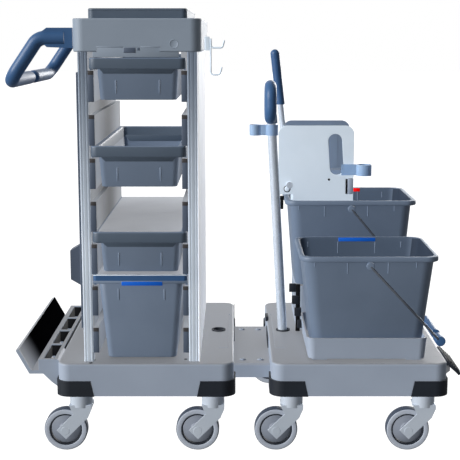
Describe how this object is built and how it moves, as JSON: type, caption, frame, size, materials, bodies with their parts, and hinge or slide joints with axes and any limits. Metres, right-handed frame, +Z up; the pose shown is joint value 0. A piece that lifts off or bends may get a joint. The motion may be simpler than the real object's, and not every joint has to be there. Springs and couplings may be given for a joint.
{
  "type": "housekeeping cart",
  "caption": "Two-part castered cleaning cart with a drawer tower, top tray, push handle, side rack, two buckets and a lever mop press.",
  "frame": {"origin": "on the floor, under the middle of the whole cart's plan box", "axes": "+X from the push handle towards the buckets, +Y from the drawer fronts to the back, +Z up"},
  "size_m": [1.0346, 0.608, 1.011],
  "materials": {
    "deck_plastic": "satin moulded",
    "dark_plastic": "satin moulded",
    "tray_plastic": "satin moulded",
    "light_plastic": "satin moulded",
    "cover_plastic": "matte moulded",
    "blue_plastic": "gloss moulded",
    "clear_blue_plastic": "gloss translucent",
    "black_rubber": "matte rubber",
    "caster_plastic": "satin moulded",
    "caster_tyre": "soft grey tread",
    "zinc_steel": "zinc plated",
    "aluminium_tube": "anodised",
    "wire_steel": "bright wire"
  },
  "bodies": {
    "chassis": {"base_left": "deck_plastic", "base_right": "deck_plastic", "bridge_plate": "deck_plastic", "bridge_screws": "zinc_steel", "bucket_cradle": "light_plastic", "caster_bushes": "zinc_steel", "corner_bumpers": "black_rubber", "mast": "aluminium_tube", "mast_clip": "clear_blue_plastic", "mast_grip": "blue_plastic", "pedal_hinge": "zinc_steel", "push_handle_front": "blue_plastic", "push_handle_rear": "blue_plastic", "rail_panel_left": "light_plastic", "rail_panel_right": "light_plastic", "side_panel_left": "dark_plastic", "side_panel_right": "light_plastic", "side_rack": "deck_plastic", "socket_collars": "black_rubber", "top_box": "dark_plastic", "top_tray": "tray_plastic", "tower_posts": "aluminium_tube", "tray_hooks": "light_plastic"},
    "fork_1": {"caster_fork_1": "caster_plastic"},
    "wheel_1": {"caster_wheel_1": "caster_tyre"},
    "fork_2": {"caster_fork_2": "caster_plastic"},
    "wheel_2": {"caster_wheel_2": "caster_tyre"},
    "fork_3": {"caster_fork_3": "caster_plastic"},
    "wheel_3": {"caster_wheel_3": "caster_tyre"},
    "fork_4": {"caster_fork_4": "caster_plastic"},
    "wheel_4": {"caster_wheel_4": "caster_tyre"},
    "fork_5": {"caster_fork_5": "caster_plastic"},
    "wheel_5": {"caster_wheel_5": "caster_tyre"},
    "fork_6": {"caster_fork_6": "caster_plastic"},
    "wheel_6": {"caster_wheel_6": "caster_tyre"},
    "fork_7": {"caster_fork_7": "caster_plastic"},
    "wheel_7": {"caster_wheel_7": "caster_tyre"},
    "fork_8": {"caster_fork_8": "caster_plastic"},
    "wheel_8": {"caster_wheel_8": "caster_tyre"},
    "lower_drawer": {"drawer_lower": "dark_plastic", "drawer_covers": "cover_plastic"},
    "middle_drawer": {"drawer_middle": "dark_plastic"},
    "upper_drawer": {"drawer_upper": "dark_plastic"},
    "bin": {"linen_bin": "dark_plastic", "bin_frame": "blue_plastic", "bin_lid": "cover_plastic"},
    "box_lid": {"top_box_lid": "dark_plastic"},
    "bucket_front": {"front_bucket": "dark_plastic"},
    "bail_front": {"front_bail": "wire_steel", "front_bail_grip": "blue_plastic"},
    "bucket_rear": {"rear_bucket": "dark_plastic"},
    "bail_rear": {"rear_bail": "wire_steel", "rear_bail_grip": "blue_plastic"},
    "press": {"press_frame": "light_plastic", "press_rear_plate": "dark_plastic", "press_clip": "clear_blue_plastic"},
    "lever": {"press_lever": "aluminium_tube", "press_lever_grip": "blue_plastic"},
    "jaw": {"press_jaw": "dark_plastic"},
    "pedal": {"brake_pedal": "black_rubber"}
  },
  "joints": [
    {"name": "swivel_1", "type": "hinge", "parent": "chassis", "child": "fork_1", "pos_m": [-0.36275, -0.255, 0.141], "axis": [0, 0, 1], "continuous": true},
    {"name": "roll_1", "type": "hinge", "parent": "fork_1", "child": "wheel_1", "pos_m": [-0.39875, -0.255, 0.05], "axis": [0, 1, 0], "continuous": true},
    {"name": "swivel_2", "type": "hinge", "parent": "chassis", "child": "fork_2", "pos_m": [-0.36275, 0.255, 0.141], "axis": [0, 0, 1], "continuous": true},
    {"name": "roll_2", "type": "hinge", "parent": "fork_2", "child": "wheel_2", "pos_m": [-0.39875, 0.255, 0.05], "axis": [0, 1, 0], "continuous": true},
    {"name": "swivel_3", "type": "hinge", "parent": "chassis", "child": "fork_3", "pos_m": [-0.05675, -0.255, 0.141], "axis": [0, 0, 1], "continuous": true},
    {"name": "roll_3", "type": "hinge", "parent": "fork_3", "child": "wheel_3", "pos_m": [-0.09275, -0.255, 0.05], "axis": [0, 1, 0], "continuous": true},
    {"name": "swivel_4", "type": "hinge", "parent": "chassis", "child": "fork_4", "pos_m": [-0.05675, 0.255, 0.141], "axis": [0, 0, 1], "continuous": true},
    {"name": "roll_4", "type": "hinge", "parent": "fork_4", "child": "wheel_4", "pos_m": [-0.09275, 0.255, 0.05], "axis": [0, 1, 0], "continuous": true},
    {"name": "swivel_5", "type": "hinge", "parent": "chassis", "child": "fork_5", "pos_m": [0.12525, -0.255, 0.141], "axis": [0, 0, 1], "continuous": true},
    {"name": "roll_5", "type": "hinge", "parent": "fork_5", "child": "wheel_5", "pos_m": [0.08925, -0.255, 0.05], "axis": [0, 1, 0], "continuous": true},
    {"name": "swivel_6", "type": "hinge", "parent": "chassis", "child": "fork_6", "pos_m": [0.12525, 0.255, 0.141], "axis": [0, 0, 1], "continuous": true},
    {"name": "roll_6", "type": "hinge", "parent": "fork_6", "child": "wheel_6", "pos_m": [0.08925, 0.255, 0.05], "axis": [0, 1, 0], "continuous": true},
    {"name": "swivel_7", "type": "hinge", "parent": "chassis", "child": "fork_7", "pos_m": [0.43125, -0.255, 0.141], "axis": [0, 0, 1], "continuous": true},
    {"name": "roll_7", "type": "hinge", "parent": "fork_7", "child": "wheel_7", "pos_m": [0.39525, -0.255, 0.05], "axis": [0, 1, 0], "continuous": true},
    {"name": "swivel_8", "type": "hinge", "parent": "chassis", "child": "fork_8", "pos_m": [0.43125, 0.255, 0.141], "axis": [0, 0, 1], "continuous": true},
    {"name": "roll_8", "type": "hinge", "parent": "fork_8", "child": "wheel_8", "pos_m": [0.39525, 0.255, 0.05], "axis": [0, 1, 0], "continuous": true},
    {"name": "lower_drawer_slide", "type": "slide", "parent": "chassis", "child": "lower_drawer", "axis": [0, -1, 0], "range_m": [0, 0.38]},
    {"name": "middle_drawer_slide", "type": "slide", "parent": "chassis", "child": "middle_drawer", "axis": [0, -1, 0], "range_m": [0, 0.38]},
    {"name": "upper_drawer_slide", "type": "slide", "parent": "chassis", "child": "upper_drawer", "axis": [0, -1, 0], "range_m": [0, 0.38]},
    {"name": "bin_slide", "type": "slide", "parent": "chassis", "child": "bin", "axis": [0, -1, 0], "range_m": [0, 0.38]},
    {"name": "box_lid_hinge", "type": "hinge", "parent": "chassis", "child": "box_lid", "pos_m": [-0.21975, 0.265, 1.006], "axis": [-1, 0, 0], "range_deg": [0, 95]},
    {"name": "front_bucket_lift", "type": "slide", "parent": "chassis", "child": "bucket_front", "axis": [0, 0, 1], "range_m": [0, 0.25]},
    {"name": "front_bail_swing", "type": "hinge", "parent": "bucket_front", "child": "bail_front", "pos_m": [0.29875, -0.15, 0.441], "axis": [0, -1, 0], "range_deg": [0, 137]},
    {"name": "rear_bucket_lift", "type": "slide", "parent": "chassis", "child": "bucket_rear", "axis": [0, 0, 1], "range_m": [0, 0.25]},
    {"name": "rear_bail_swing", "type": "hinge", "parent": "bucket_rear", "child": "bail_rear", "pos_m": [0.28425, 0.1325, 0.527], "axis": [0, -1, 0], "range_deg": [0, 118]},
    {"name": "press_lift", "type": "slide", "parent": "bucket_rear", "child": "press", "axis": [0, 0, 1], "range_m": [0, 0.3]},
    {"name": "lever_swing", "type": "hinge", "parent": "press", "child": "lever", "pos_m": [0.13525, 0.1465, 0.572], "axis": [0, 1, 0], "range_deg": [0, 60]},
    {"name": "jaw_slide", "type": "slide", "parent": "press", "child": "jaw", "axis": [0, 0, -1], "range_m": [0, 0.05]},
    {"name": "pedal_press", "type": "hinge", "parent": "chassis", "child": "pedal", "pos_m": [0.48625, -0.208, 0.1935], "axis": [0, 1, 0], "range_deg": [0, 15], "stiffness_Nm_per_rad": 1.5}
  ],
  "couplings": [
    {"joint": "jaw_slide", "follows": "lever_swing", "m_per_rad": 0.047746}
  ]
}
